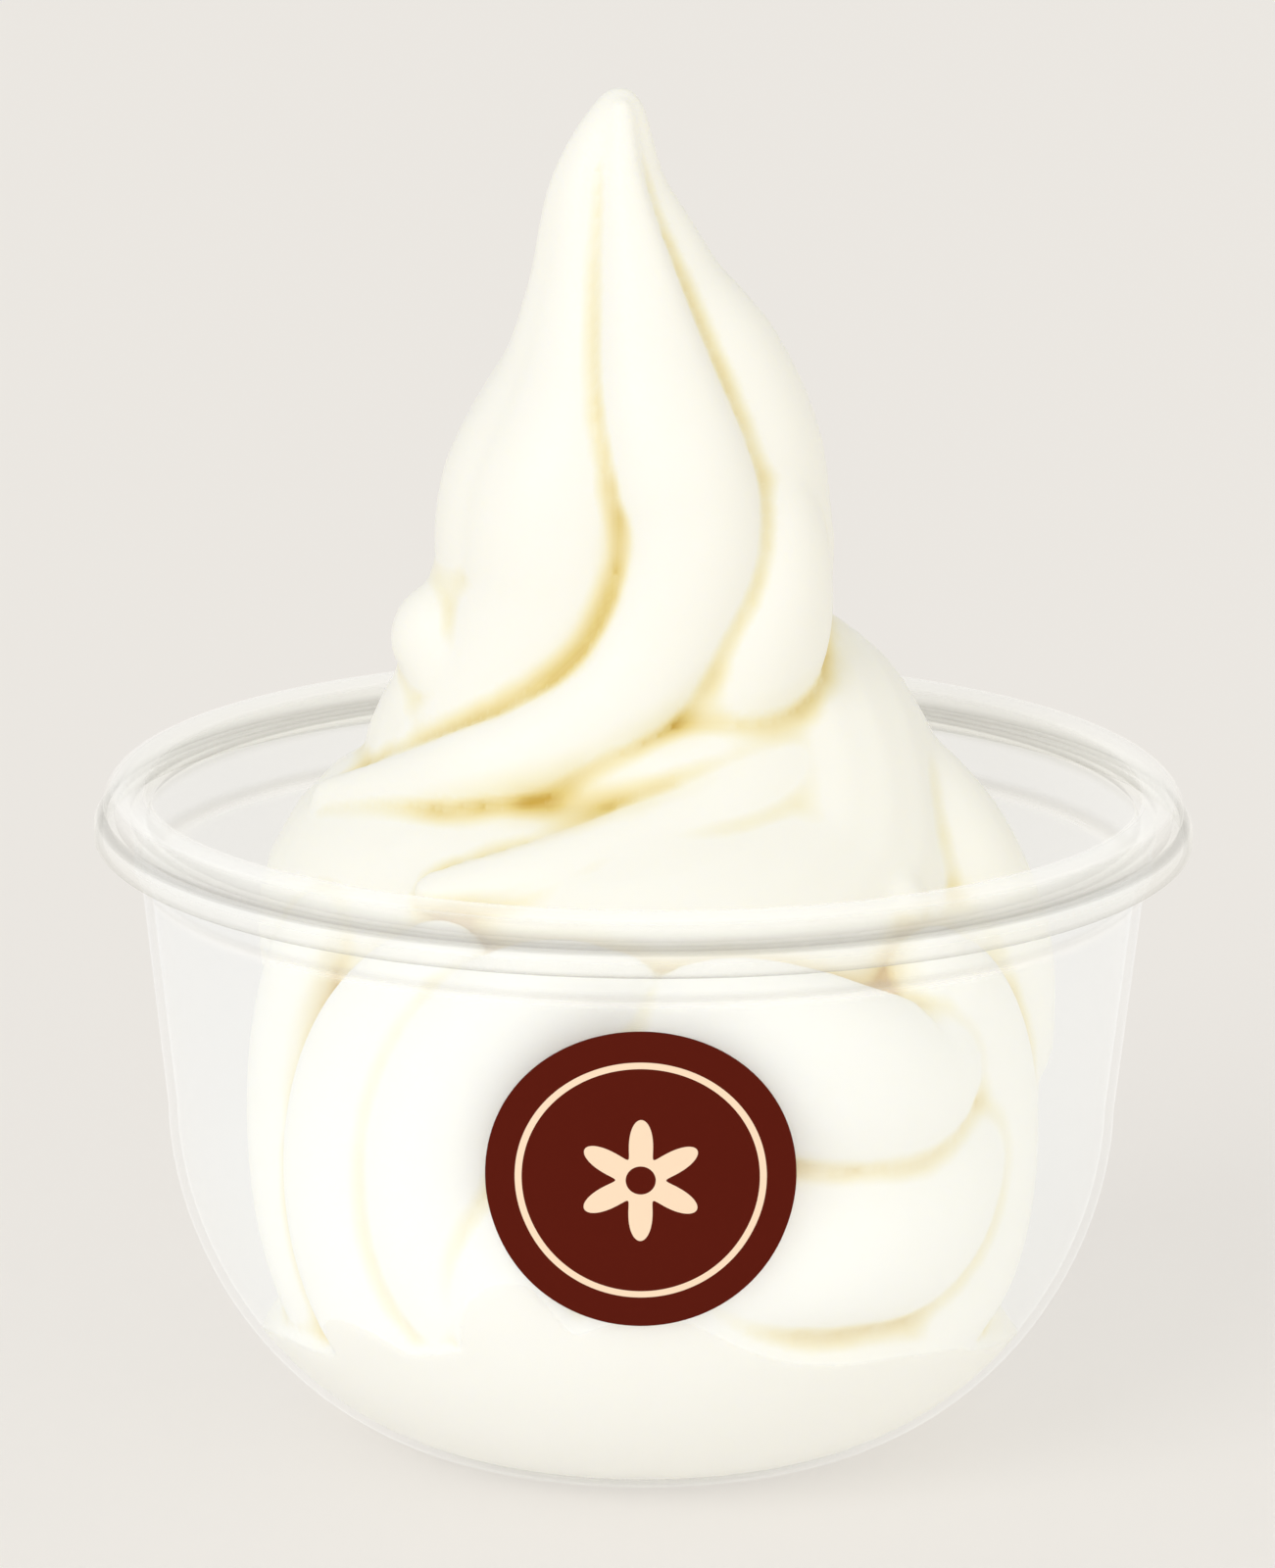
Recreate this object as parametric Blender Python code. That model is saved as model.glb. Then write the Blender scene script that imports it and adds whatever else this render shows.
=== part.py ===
"""A swirl of soft serve in a clear round plastic cup with a paper label.

Metres, +Z up. The origin is the middle of the cup's foot, on the surface it
stands on, and the label faces -Y.
"""

import math

import bmesh
import bpy
from mathutils import Matrix, Vector

MM = 0.001

# Cup: a thermoformed bowl with a stacking step, a lid seat and a rolled rim
CUP_HEIGHT = 60.3 * MM
RIM_RADIUS = 49 * MM
WALL = 0.8 * MM
FOOT_RADIUS = 15.6 * MM
FOOT_WIDTH = 3.5 * MM
FOOT_RECESS = 1.0 * MM
BELLY_RADIUS = 42.4 * MM
BELLY_HEIGHT = 30.8 * MM
BOWL_FULLNESS = 1.86
STEP_RADIUS = 44.8 * MM
STEP_HEIGHT = 51.6 * MM
STEP_RISE = 0.8 * MM
COLLAR_RADIUS = 45.4 * MM
SEAT_HEIGHT = 56.4 * MM
SEAT_RADIUS = 45.8 * MM
RIM_CROWN = 46.0 * MM
RIM_ROLL = 2.2 * MM
RIM_SHOULDER = 48.2 * MM
LIP_HEIGHT = 57.2 * MM
RIM_FOOT = 55.0 * MM
CUP_STEPS = 64

# Soft serve: a filling pressed to the wall, and a fluted rope coiled on it
CLEARANCE = 0.3 * MM
FILL_RADIUS = 32.0 * MM
FILL_FORWARD = 5.5 * MM
FILL_CROWN = 51 * MM
FILL_FOOT = 45 * MM  # where it would reach at the bottom, past the wall
FILL_SPREAD = 17 * MM  # up to this height it widens towards the bottom
FILL_WAVES = ((0.06, 2, 1.57), (0.02, 5, 2.0), (0.012, 9, 0.5))  # share, count round it, start
SHOULDER = 12 * MM
ROPE_SIDES = 72
ROPE_STATIONS = 140
BAR_SIDES = 20

# Label
LABEL_RADIUS = 13.7 * MM
LABEL_HEIGHT = 35.6 * MM
LABEL_THICKNESS = 0.25 * MM
LABEL_RINGS = 3
LABEL_STEPS = 40

# Flutes of the rope at the peak, as round lobes: direction in degrees from the front,
# distance of the lobe's centre, and its radius, as shares of the rope's
FLUTES = (
    (74, 0.46, 0.52),
    (120, 0.60, 0.38),
    (160, 0.60, 0.38),
    (203, 0.62, 0.36),
    (245, 0.60, 0.41),
    (285, 0.49, 0.51),
    (309, 0.44, 0.54),
    (0, 0.28, 0.48),
)

# From here on, lines give millimetres: across, back, height and radius

# The rope's line down from its tip
TIP_HEIGHT = 123.0
PEAK = (
    (-2.4, 0, TIP_HEIGHT, 1.0),
    (-2.6, 0, 121.0, 2.6),
    (-3.4, 0, 114.0, 5.7),
    (-2.2, 0, 106.0, 9.0),
    (-0.8, 0, 98.5, 13.6),
    (-0.4, 0, 92.0, 16.6),
    (-0.8, 0, 85.0, 18.1),
    (-1.1, 0, 78.5, 18.1),
    (-3.5, 0, 72.0, 17.6),
)
# Its coil below that: turns down from the front, distance from the axis, height and
# radius. It goes down clockwise seen from above.
COIL = (
    (0.25, 9.5, 60.5, 15.8),
    (0.50, 10, 60.0, 16.5),
    (0.72, 9.5, 59.5, 16.8),
    (0.85, 14.0, 50.0, 16.5),
    (1.00, 17.5, 45.0, 17.5),
    (1.25, 16.5, 47.0, 18.0),
    (1.50, 15.5, 44.0, 18.0),
    (1.75, 17.5, 43.0, 18.0),
    (2.00, 15, 36.0, 18.0),
)
# Strands and smaller folds: flatness and lift, then across, back, height and half width
STRANDS = {
    "middle": (0.75, 0.1, (
        (-2.6, -1.8, 121.2, 1.5), (-2.3, -4.0, 114.2, 2.4), (-0.7, -7.0, 105.8, 3.8),
        (1.1, -10.3, 97.6, 5.5), (2.9, -11.8, 91.8, 6.2), (4.2, -12.2, 87.0, 6.3),
        (4.0, -12.9, 82.1, 6.2), (1.1, -14.0, 75.6, 5.4), (-3.5, -15.0, 70.3, 4.7),
        (-10.0, -15.6, 66.7, 4.1), (-15.6, -14.4, 64.7, 3.6), (-22.0, -9.8, 61.6, 3.0),
        (-27.8, -4.6, 59.4, 2.1))),
    "right": (0.7, 0.1, (
        (9.0, -6.0, 94.0, 2.5), (11.8, -7.6, 87.0, 4.2), (12.2, -9.2, 80.5, 5.4),
        (10.8, -10.4, 75.5, 6.2), (8.2, -11.4, 72.2, 6.2), (5.6, -12.0, 71.0, 5.4))),
    "inner": (0.7, 1.0, (
        (4.0, -15.6, 61.6, 2.2), (-3.1, -18.6, 61.2, 2.2), (-10.0, -18.3, 60.2, 1.9),
        (-16.8, -18.0, 59.0, 1.6), (-22.0, -16.2, 57.6, 1.2))),
    "outer": (0.7, 1.0, (
        (18.0, -7.6, 66.8, 2.4), (13.6, -12.4, 65.0, 4.0), (9.0, -16.4, 62.8, 5.0),
        (3.4, -20.2, 60.2, 5.0), (-3.0, -23.0, 58.6, 4.4), (-10.0, -24.4, 57.4, 3.4),
        (-18.0, -24.0, 56.0, 2.2))),
    "lap": (1.0, 0.5, (
        (12.5, -9.5, 66.0, 4.4), (6.0, -12.8, 65.2, 4.8), (-2.0, -14.4, 63.6, 4.6),
        (-10.0, -13.5, 61.5, 4.0))),
    "knob": (1.0, 0.0, ((-10, -6, 68, 6.5), (-15.2, -5, 71.8, 6.0), (-17.4, -4, 74.2, 5.2))),
    "blob": (0.9, 1.0, ((18.6, -18.0, 53.2, 3.2), (21.6, -17.2, 53.8, 3.4))),
    "side": (1.0, 0.5, ((19, 0, 60, 8), (24, -3, 54, 9), (28, -3, 46, 8.5), (29, -2, 38, 8))),
}
# Strands along the coil's back: from and to in turns, direction up from outward in
# degrees, and half width. Each is sunk in the coil by a share of its half width.
STRAND_FLATNESS = 0.7
STRAND_SINK = 0.35
COIL_STRANDS = (
    (0.30, 0.72, 20, 5.0),
    (0.30, 0.70, 58, 4.5),
    (1.30, 1.75, 45, 5.0),
    (1.32, 1.70, 10, 5.0),
)
# Folds laid round the filling: half width, then direction in degrees and height. They
# come twice, turned by the WALL_TURNS in degrees. Their lines lie FOLD_SINK inside the
# filling's side, and deeper at their ends by up to FOLD_TAPER of the half width.
FOLD_FLATNESS = 0.6
FOLD_SINK = 0.5
FOLD_TAPER = 0.3
FOLD_RUN = 0.6  # millimetres along the wall for a degree round it
WALL_TURNS = (0, 168)
WALL_FOLDS = {
    "left edge": (6.5, ((-72, 49), (-77, 41), (-78, 33), (-73, 24), (-63, 16))),
    "left outer": (7.5, ((-36, 50), (-42.5, 46), (-48, 41.5), (-52, 36.5), (-54, 31),
                         (-53, 25), (-48, 19), (-40, 14))),
    "left inner": (7.5, ((-6, 49), (-12, 49), (-19, 47.5), (-27, 43.5), (-32.5, 38), (-34.5, 32.6),
                         (-34, 25.5), (-28, 19))),
    "middle": (7.0, ((0, 30), (-12, 29), (-19, 24), (-15, 18.5), (-6, 17))),
    "right upper": (8.5, ((4, 46), (14, 46), (24, 44), (34, 41.5), (44, 40), (53, 40.5), (59, 43.4))),
    "right lower": (8.0, ((2, 25), (11, 26), (22, 27), (34, 27), (48, 27), (61, 30.4), (72, 35))),
    "right outer": (7.0, ((58, 48), (68, 42), (76, 34), (75, 27), (66, 21), (50, 17))),
}


def clear_scene():
    for obj in list(bpy.data.objects):
        bpy.data.objects.remove(obj)


def material(name, colour, roughness, metallic=0.0, alpha=1.0):
    made = bpy.data.materials.new(name)
    made.use_nodes = True
    shader = made.node_tree.nodes["Principled BSDF"]
    shader.inputs["Base Color"].default_value = (*colour, 1.0)
    shader.inputs["Roughness"].default_value = roughness
    shader.inputs["Metallic"].default_value = metallic
    shader.inputs["Alpha"].default_value = alpha
    return made


def add_object(name, bm, finish):
    mesh = bpy.data.meshes.new(name)
    bm.to_mesh(mesh)
    bm.free()
    obj = bpy.data.objects.new(name, mesh)
    bpy.context.scene.collection.objects.link(obj)
    mesh.materials.append(finish)
    mesh.shade_smooth()
    return obj


def outer_wall(steps=9):
    """The outside of the bowl, from the foot up to the step, as (radius, height)."""
    reach = BELLY_RADIUS - FOOT_RADIUS
    points = []
    for i in range(steps + 1):
        t = 0.5 * math.pi * (1 - i / steps)
        across = max(math.cos(t), 0.0) ** (2 / BOWL_FULLNESS)
        down = math.sin(t) ** (2 / BOWL_FULLNESS)
        points.append((FOOT_RADIUS + reach * across, BELLY_HEIGHT * (1 - down)))
    return points + [(STEP_RADIUS, STEP_HEIGHT)]


def offset_inward(points, distance):
    """The same line moved sideways, towards the axis and up."""
    moved = []
    for i, (r, z) in enumerate(points):
        before, after = points[max(i - 1, 0)], points[min(i + 1, len(points) - 1)]
        run = Vector((after[0] - before[0], after[1] - before[1])).normalized()
        moved.append((r - run.y * distance, z + run.x * distance))
    return moved


def arc(centre, radius, start, end, steps):
    """Points of a round stretch, in degrees from the outward direction."""
    angles = [math.radians(start + (end - start) * i / steps) for i in range(steps + 1)]
    return [(centre[0] + radius * math.cos(a), centre[1] + radius * math.sin(a)) for a in angles]


def cup_outline():
    """The cup's section, once round it, as (radius, height)."""
    outside = outer_wall() + [
        (COLLAR_RADIUS, STEP_HEIGHT + STEP_RISE),
        (COLLAR_RADIUS, SEAT_HEIGHT - WALL),
    ]
    inside = offset_inward(outside, WALL)
    recess = FOOT_RADIUS - FOOT_WIDTH
    crown = CUP_HEIGHT - 1.0 * MM
    section = [(0.0, FOOT_RECESS), (recess - FOOT_RECESS, FOOT_RECESS), (recess, 0.0)]
    section += outside
    section += [
        (SEAT_RADIUS, SEAT_HEIGHT - 0.3 * MM),
        (SEAT_RADIUS, crown - WALL),
        (SEAT_RADIUS + 0.4 * MM, crown),
        (RIM_SHOULDER - 1.6 * WALL, crown - 0.5 * MM),
        (RIM_SHOULDER - 1.2 * WALL, LIP_HEIGHT + 0.4 * MM),
        (RIM_SHOULDER - 1.3 * WALL, LIP_HEIGHT - 0.4 * MM),
        (RIM_RADIUS - WALL, LIP_HEIGHT - 0.9 * MM),
        (RIM_RADIUS - WALL, RIM_FOOT + 0.2 * MM),
        (RIM_RADIUS - 0.5 * WALL, RIM_FOOT),
        (RIM_RADIUS, RIM_FOOT + 0.3 * MM),
        (RIM_RADIUS, LIP_HEIGHT - 0.6 * MM),
        (RIM_RADIUS - 0.3 * MM, LIP_HEIGHT - 0.2 * MM),
        (RIM_SHOULDER - 0.35 * MM, LIP_HEIGHT),
        (RIM_SHOULDER - 0.35 * MM, LIP_HEIGHT + 0.2 * MM),
    ]
    section += arc((RIM_CROWN, CUP_HEIGHT - RIM_ROLL), RIM_ROLL, 0, 180, 6)
    section += [(COLLAR_RADIUS - WALL, SEAT_HEIGHT + 0.2 * MM)]
    section += inside[::-1]
    section += [(recess - FOOT_RECESS, FOOT_RECESS + WALL), (0.0, FOOT_RECESS + WALL)]
    return section


def cup(finish):
    bm = bmesh.new()
    ring = [bm.verts.new((r, 0.0, z)) for r, z in cup_outline()]
    edges = [bm.edges.new(pair) for pair in zip(ring, ring[1:])]
    bmesh.ops.spin(
        bm, geom=ring + edges, axis=(0, 0, 1), cent=(0, 0, 0),
        steps=CUP_STEPS, angle=2 * math.pi, use_merge=True,
    )
    bmesh.ops.remove_doubles(bm, verts=bm.verts, dist=0.01 * MM)
    bmesh.ops.recalc_face_normals(bm, faces=bm.faces)
    obj = add_object("cup", bm, finish)
    obj.data.set_sharp_from_angle(angle=math.radians(35))
    return obj


def radius_at(line, height):
    """The radius of a line of (radius, height) at this height."""
    if height <= line[0][1]:
        return line[0][0]
    for (r0, z0), (r1, z1) in zip(line, line[1:]):
        if height <= z1:
            return r0 + (r1 - r0) * (height - z0) / (z1 - z0)
    return line[-1][0]


def between(keys, at):
    """Smooth values between keys whose first number is the place: a Catmull-Rom curve."""
    places = [key[0] for key in keys]
    i = max(0, min(len(keys) - 2, sum(place <= at for place in places) - 1))
    p = [keys[max(0, min(len(keys) - 1, i + k))] for k in (-1, 0, 1, 2)]
    t = (at - p[1][0]) / (p[2][0] - p[1][0])
    values = []
    for a, b, c, d in zip(p[0][1:], p[1][1:], p[2][1:], p[3][1:]):
        values.append(
            0.5 * (2 * b + (c - a) * t + (2 * a - 5 * b + 4 * c - d) * t**2 + (3 * b - a - 3 * c + d) * t**3)
        )
    return values


def coil_points():
    points = []
    for turns, away, height, radius in COIL:
        angle = -2 * math.pi * (turns + 0.25)
        points.append((away * math.cos(angle), away * math.sin(angle), height, radius))
    return points


def with_places(points):
    """Puts before each point how far along the line it is."""
    keys, along = [], 0.0
    for i, point in enumerate(points):
        if i:
            along += (Vector(point[:3]) - Vector(points[i - 1][:3])).length
        keys.append((along, *point))
    return keys


def line_matrices(keys, stations, front, flat=1.0, lift=None):
    """Where a bar's outline lies at each station of its line: without any twist of its own or,
    given a lift, with its flat side facing away from the axis and up by that much."""
    samples = [between(keys, keys[-1][0] * i / (stations - 1)) for i in range(stations)]
    centres = [Vector(s[:3]) * MM for s in samples]
    heading = (centres[1] - centres[0]).normalized()
    front = (front - heading * front.dot(heading)).normalized()
    matrices = []
    for i, centre in enumerate(centres):
        after, before = centres[min(i + 1, stations - 1)], centres[max(i - 1, 0)]
        turned = (after - before).normalized()
        front.rotate(heading.rotation_difference(turned))
        heading = turned
        if lift is not None:
            outward = Vector((centre.x, centre.y, lift * math.hypot(centre.x, centre.y) + 0.1 * MM))
            front = (outward - heading * outward.dot(heading)).normalized()
        frame = Matrix((front.cross(heading), front, -heading)).transposed().to_4x4()
        size = samples[i][3] * MM
        matrices.append(Matrix.Translation(centre) @ frame @ Matrix.Diagonal((size, size * flat, size, 1)))
    return matrices


def flute_radius(angle):
    """The rope's outline: how far its round lobes reach this way, as a share of its radius."""
    reach = 0.0
    for direction, away, size in FLUTES:
        off = angle - math.radians(direction)
        inside = size**2 - (away * math.sin(off)) ** 2
        if math.cos(off) > 0 and inside > 0:
            reach = max(reach, away * math.cos(off) + math.sqrt(inside))
    return reach


def sweep(bm, matrices, outline, sides):
    """A closed bar of this outline, extruded from station to station."""
    made = bmesh.ops.create_circle(bm, cap_ends=True, segments=sides, radius=1.0)
    ring = made["verts"]
    for vert in ring:
        angle = math.atan2(vert.co.x, vert.co.y)
        reach = outline(angle)
        vert.co = Vector((math.sin(angle) * reach, math.cos(angle) * reach, 0.0))
    bmesh.ops.transform(bm, matrix=matrices[0], verts=ring)
    edges = list({edge for vert in ring for edge in vert.link_edges})
    for last, here in zip(matrices, matrices[1:]):
        grown = bmesh.ops.extrude_edge_only(bm, edges=edges)["geom"]
        ring = [item for item in grown if isinstance(item, bmesh.types.BMVert)]
        edges = [item for item in grown if isinstance(item, bmesh.types.BMEdge)]
        bmesh.ops.transform(bm, matrix=here @ last.inverted(), verts=ring)
    bmesh.ops.holes_fill(bm, edges=edges, sides=0)


def filling(bm, steps=96, rings=26):
    """The mass in the cup, out past the wall, up to a round shoulder."""
    low, crown = FOOT_RECESS + WALL, FILL_CROWN
    column = []
    for i in range(rings + 1):
        z = low + (crown - low) * i / rings
        into = min(max(0.0, (z - (crown - SHOULDER)) / SHOULDER), 1.0)
        spread = max(0.0, 1 - (z - low) / FILL_SPREAD) ** 1.5
        wide = FILL_RADIUS + (FILL_FOOT - FILL_RADIUS) * spread
        column.append((wide - SHOULDER * (1 - math.sqrt(1 - into**2)), z))
    ring = [bm.verts.new((0.0, 0.0, low))]
    ring += [bm.verts.new((r, 0.0, z)) for r, z in column]
    ring += [bm.verts.new((0.0, 0.0, crown))]
    edges = [bm.edges.new(pair) for pair in zip(ring, ring[1:])]
    bmesh.ops.spin(
        bm, geom=ring + edges, axis=(0, 0, 1), cent=(0, 0, 0),
        steps=steps, angle=2 * math.pi, use_merge=True,
    )
    bmesh.ops.remove_doubles(bm, verts=bm.verts, dist=0.01 * MM)
    for vert in bm.verts:
        turn = math.atan2(vert.co.x, -vert.co.y)
        wave = sum(size * math.sin(count * turn + start) for size, count, start in FILL_WAVES)
        vert.co.x *= 1 + wave
        vert.co.y = vert.co.y * (1 + wave) - FILL_FORWARD


def join_shape(bm, shape):
    """Adds a shape that was made on its own, which is much quicker, to the rest."""
    mesh = bpy.data.meshes.new("shape")
    shape.to_mesh(mesh)
    shape.free()
    bm.from_mesh(mesh)
    bpy.data.meshes.remove(mesh)


def bar(bm, points, stations, flat=1.0, lift=None):
    """An oval fold with round ends."""
    shape = bmesh.new()
    matrices = line_matrices(with_places(points), stations, Vector((0, -1, 0)), flat, lift)
    sweep(shape, matrices, lambda angle: 1.0, BAR_SIDES)
    for end in (matrices[0], matrices[-1]):
        bmesh.ops.create_icosphere(shape, subdivisions=2, radius=1.0, matrix=end)
    join_shape(bm, shape)


def rope(bm):
    """Fluted down the peak, round where the strands lie on it."""
    coil = coil_points()
    keys = with_places(list(PEAK) + coil[:1])
    shape = bmesh.new()
    sweep(shape, line_matrices(keys, ROPE_STATIONS, Vector((0, -1, 0))), flute_radius, ROPE_SIDES)
    join_shape(bm, shape)
    bar(bm, coil, ROPE_STATIONS)


def strands(bm):
    for flat, lift, points in STRANDS.values():
        bar(bm, points, 6 * len(points), flat, lift)


def coil_strands(bm, stations=16):
    keys = [(line[0], *point) for line, point in zip(COIL, coil_points())]
    for start, end, rise, wide in COIL_STRANDS:
        points = []
        for i in range(stations):
            x, y, z, radius = between(keys, start + (end - start) * i / (stations - 1))
            lie = radius - STRAND_SINK * wide
            away = lie * math.cos(math.radians(rise)) / math.hypot(x, y)
            up = lie * math.sin(math.radians(rise))
            share = math.sin(math.pi * (i + 0.5) / stations) ** 0.5
            points.append((x + x * away, y + y * away, z + up, wide * share))
        bar(bm, points, 2 * stations, STRAND_FLATNESS, math.tan(math.radians(rise)))


def wall_folds(bm, turn, stations=24):
    radius, forward = FILL_RADIUS / MM, FILL_FORWARD / MM
    for thick, line in WALL_FOLDS.values():
        keys = with_places([(FOLD_RUN * direction, height, 0) for direction, height in line])
        points = []
        for i in range(stations):
            across, height, _ = between(keys, keys[-1][0] * i / (stations - 1))
            share = math.sin(math.pi * (i + 1) / (stations + 1)) ** 0.5
            away = radius - FOLD_SINK - FOLD_TAPER * thick * (1 - share)
            angle = math.radians(across / FOLD_RUN + turn)
            place = (away * math.sin(angle), -away * math.cos(angle) - forward, height)
            points.append((*place, thick * (0.5 + 0.5 * share)))
        bar(bm, points, stations, FOLD_FLATNESS, 0.0)


def fuse(obj, grain, smoothing, keep):
    """Joins the overlapping shapes of a mesh into one skin, softens it, and thins its faces."""
    remesh = obj.modifiers.new("fuse", "REMESH")
    remesh.mode = "VOXEL"
    remesh.voxel_size = grain
    smooth = obj.modifiers.new("soften", "SMOOTH")
    smooth.factor = 0.5
    smooth.iterations = smoothing
    if keep < 1:
        thin = obj.modifiers.new("thin", "DECIMATE")
        thin.ratio = keep
    graph = bpy.context.evaluated_depsgraph_get()
    done = bpy.data.meshes.new_from_object(obj.evaluated_get(graph))
    obj.modifiers.clear()
    old, obj.data = obj.data, done
    bpy.data.meshes.remove(old)


def press_to_cup(obj, gap):
    """Moves what lies beyond the cup's wall back inside it."""
    floor = FOOT_RECESS + WALL + gap
    line = offset_inward(outer_wall(24), WALL + gap)
    for vert in obj.data.vertices:
        vert.co.z = max(vert.co.z, floor)
        limit = radius_at(line, vert.co.z)
        away = math.hypot(vert.co.x, vert.co.y)
        if away > limit:
            vert.co.x *= limit / away
            vert.co.y *= limit / away


def soft_serve(finish, grain=1.0 * MM, smoothing=4, keep=0.082, gap=CLEARANCE):
    bm = bmesh.new()
    filling(bm)
    rope(bm)
    strands(bm)
    coil_strands(bm)
    for turn in WALL_TURNS:
        wall_folds(bm, turn)
    bmesh.ops.recalc_face_normals(bm, faces=bm.faces)
    obj = add_object("soft_serve", bm, finish)
    fuse(obj, grain, smoothing, keep)
    press_to_cup(obj, gap)
    return obj


def label_side(bm, line, gap):
    """One side of the label, a disc wrapped round the wall this far off it."""
    ring = bmesh.ops.create_circle(bm, cap_ends=False, segments=LABEL_STEPS, radius=1.0)["verts"]
    edges = list({edge for vert in ring for edge in vert.link_edges})
    side = list(ring)
    for k in range(LABEL_RINGS - 1, 0, -1):
        grown = bmesh.ops.extrude_edge_only(bm, edges=edges)["geom"]
        ring = [item for item in grown if isinstance(item, bmesh.types.BMVert)]
        edges = [item for item in grown if isinstance(item, bmesh.types.BMEdge) and item.is_boundary]
        for vert in ring:
            vert.co *= k / (k + 1)
        side += ring
    middle = bmesh.ops.edgeloop_fill(bm, edges=edges)["faces"]
    side += bmesh.ops.poke(bm, faces=middle)["verts"]
    for vert in side:
        height = LABEL_HEIGHT + vert.co.y * LABEL_RADIUS
        away = radius_at(line, height) + gap
        turn = vert.co.x * LABEL_RADIUS / away
        vert.co = Vector((away * math.sin(turn), -away * math.cos(turn), height))


def label(finish):
    line = outer_wall(24)
    bm = bmesh.new()
    label_side(bm, line, CLEARANCE)
    label_side(bm, line, CLEARANCE + LABEL_THICKNESS)
    bmesh.ops.bridge_loops(bm, edges=[edge for edge in bm.edges if edge.is_boundary])
    bmesh.ops.recalc_face_normals(bm, faces=bm.faces)
    obj = add_object("label", bm, finish)
    obj.data.set_sharp_from_angle(angle=math.radians(35))
    return obj


def main():
    clear_scene()
    cup(material("clear plastic", (0.9, 0.93, 0.95), 0.1, alpha=0.3))
    soft_serve(material("soft serve", (0.98, 0.95, 0.86), 0.5))
    label(material("brown paper", (0.105, 0.011, 0.005), 0.5))


main()
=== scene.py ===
import math

import bmesh
import bpy
import numpy as np
from mathutils import Matrix, Quaternion, Vector
from mathutils.bvhtree import BVHTree


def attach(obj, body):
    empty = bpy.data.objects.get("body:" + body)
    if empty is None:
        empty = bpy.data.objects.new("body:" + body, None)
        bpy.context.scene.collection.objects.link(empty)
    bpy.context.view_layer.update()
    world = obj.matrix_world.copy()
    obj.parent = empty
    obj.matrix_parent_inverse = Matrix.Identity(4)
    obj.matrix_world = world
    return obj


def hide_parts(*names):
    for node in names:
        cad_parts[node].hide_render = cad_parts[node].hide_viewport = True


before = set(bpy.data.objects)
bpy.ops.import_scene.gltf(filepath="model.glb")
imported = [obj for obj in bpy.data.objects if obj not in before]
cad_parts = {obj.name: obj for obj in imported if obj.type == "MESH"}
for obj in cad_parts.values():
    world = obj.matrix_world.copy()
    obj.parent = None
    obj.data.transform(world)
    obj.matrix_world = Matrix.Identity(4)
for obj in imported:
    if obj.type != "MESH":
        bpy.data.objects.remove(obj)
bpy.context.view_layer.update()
mm = 0.001


def linear(colour):
    # an sRGB hex value as linear red, green, blue and alpha
    parts = [int(colour[i:i + 2], 16) / 255 for i in (1, 3, 5)]
    return [p / 12.92 if p <= 0.04045 else ((p + 0.055) / 1.055) ** 2.4 for p in parts] + [1.0]


def addNode(material, kind, values=None, links=None, **settings):
    tree = material.node_tree
    node = tree.nodes.new("ShaderNode" + kind)
    for name, value in settings.items():
        setattr(node, name, value)
    for socket, value in (values or {}).items():
        node.inputs[socket].default_value = value
    for socket, source in (links or {}).items():
        tree.links.new(source, node.inputs[socket])
    return node


def newMaterial(name, **sockets):
    material = bpy.data.materials.new(name)
    material.use_nodes = True
    shader = material.node_tree.nodes["Principled BSDF"]
    for socket, value in sockets.items():
        shader.inputs[socket.replace("_", " ")].default_value = value
    return material, shader


def finishPiece(name, bm, material, node=None):
    bmesh.ops.remove_doubles(bm, verts=bm.verts, dist=0.005 * mm)
    bmesh.ops.recalc_face_normals(bm, faces=bm.faces)
    mesh = bpy.data.meshes.new(name)
    bm.to_mesh(mesh)
    bm.free()
    mesh.materials.append(material)
    mesh.shade_smooth()
    piece = bpy.data.objects.new(name, mesh)
    bpy.context.scene.collection.objects.link(piece)
    if node:
        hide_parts(node)
    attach(piece, "root")
    return piece


def spinProfile(bm, profile, steps):
    ring = [bm.verts.new((r, 0, z)) for r, z in profile]
    edges = [bm.edges.new(pair) for pair in zip(ring, ring[1:])]
    bmesh.ops.spin(bm, geom=ring + edges, axis=(0, 0, 1), cent=(0, 0, 0),
                   steps=steps, angle=2 * math.pi, use_merge=True)
    bmesh.ops.remove_doubles(bm, verts=bm.verts, dist=0.005 * mm)


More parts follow.
